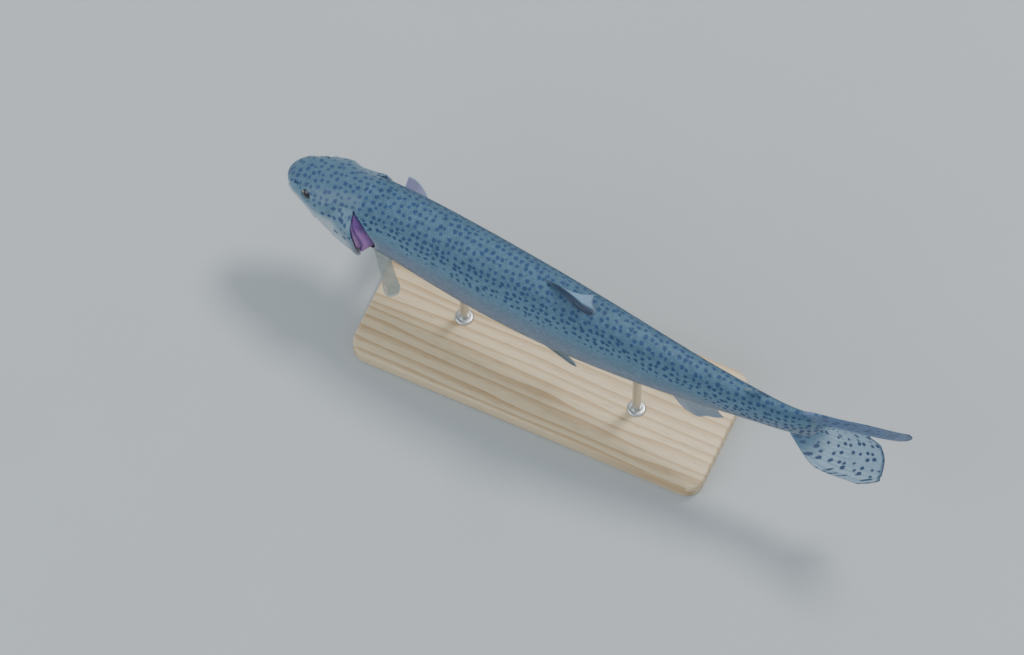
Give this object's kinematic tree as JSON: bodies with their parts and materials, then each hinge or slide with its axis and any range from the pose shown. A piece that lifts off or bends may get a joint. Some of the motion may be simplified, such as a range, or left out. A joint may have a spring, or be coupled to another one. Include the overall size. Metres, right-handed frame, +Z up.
{
  "type": "rainbow trout model on a display stand",
  "caption": "Still life-size rainbow trout, swimming with its gill covers raised, held over a flat base by two short rods.",
  "frame": {"origin": "on the table, under the middle of the whole model's box, level with the underside of the base", "axes": "+Z up; the fish lies along X with its head at -X; its left side faces -Y"},
  "size_m": [0.4513, 0.116, 0.1554],
  "materials": {
    "skin": "wet scaled skin, olive teal back with small dark spots, paler flank and belly",
    "gill": "wet pink gill filaments",
    "fin": "thin wet membrane over rays, spotted on the back and tail",
    "eye": "glossy dark pupil in a pale gold iris",
    "rod": "satin steel",
    "base": "pale oiled ash"
  },
  "bodies": {
    "root": {"head": "skin", "jaw_lower": "skin", "gill_cover_left": "skin", "gill_cover_right": "skin", "trunk_front": "skin", "trunk_middle": "skin", "trunk_hind": "skin", "trunk_vent": "skin", "tail_stalk": "skin", "gills_left": "gill", "gills_right": "gill", "eye_left": "eye", "eye_right": "eye", "fin_dorsal": "fin", "fin_adipose": "fin", "fin_anal": "fin", "fin_caudal": "fin", "fin_pectoral_left": "fin", "fin_pectoral_right": "fin", "fin_pelvic_left": "fin", "fin_pelvic_right": "fin", "stand_rod_front": "rod", "stand_rod_rear": "rod", "stand_base": "base"}
  },
  "joints": []
}
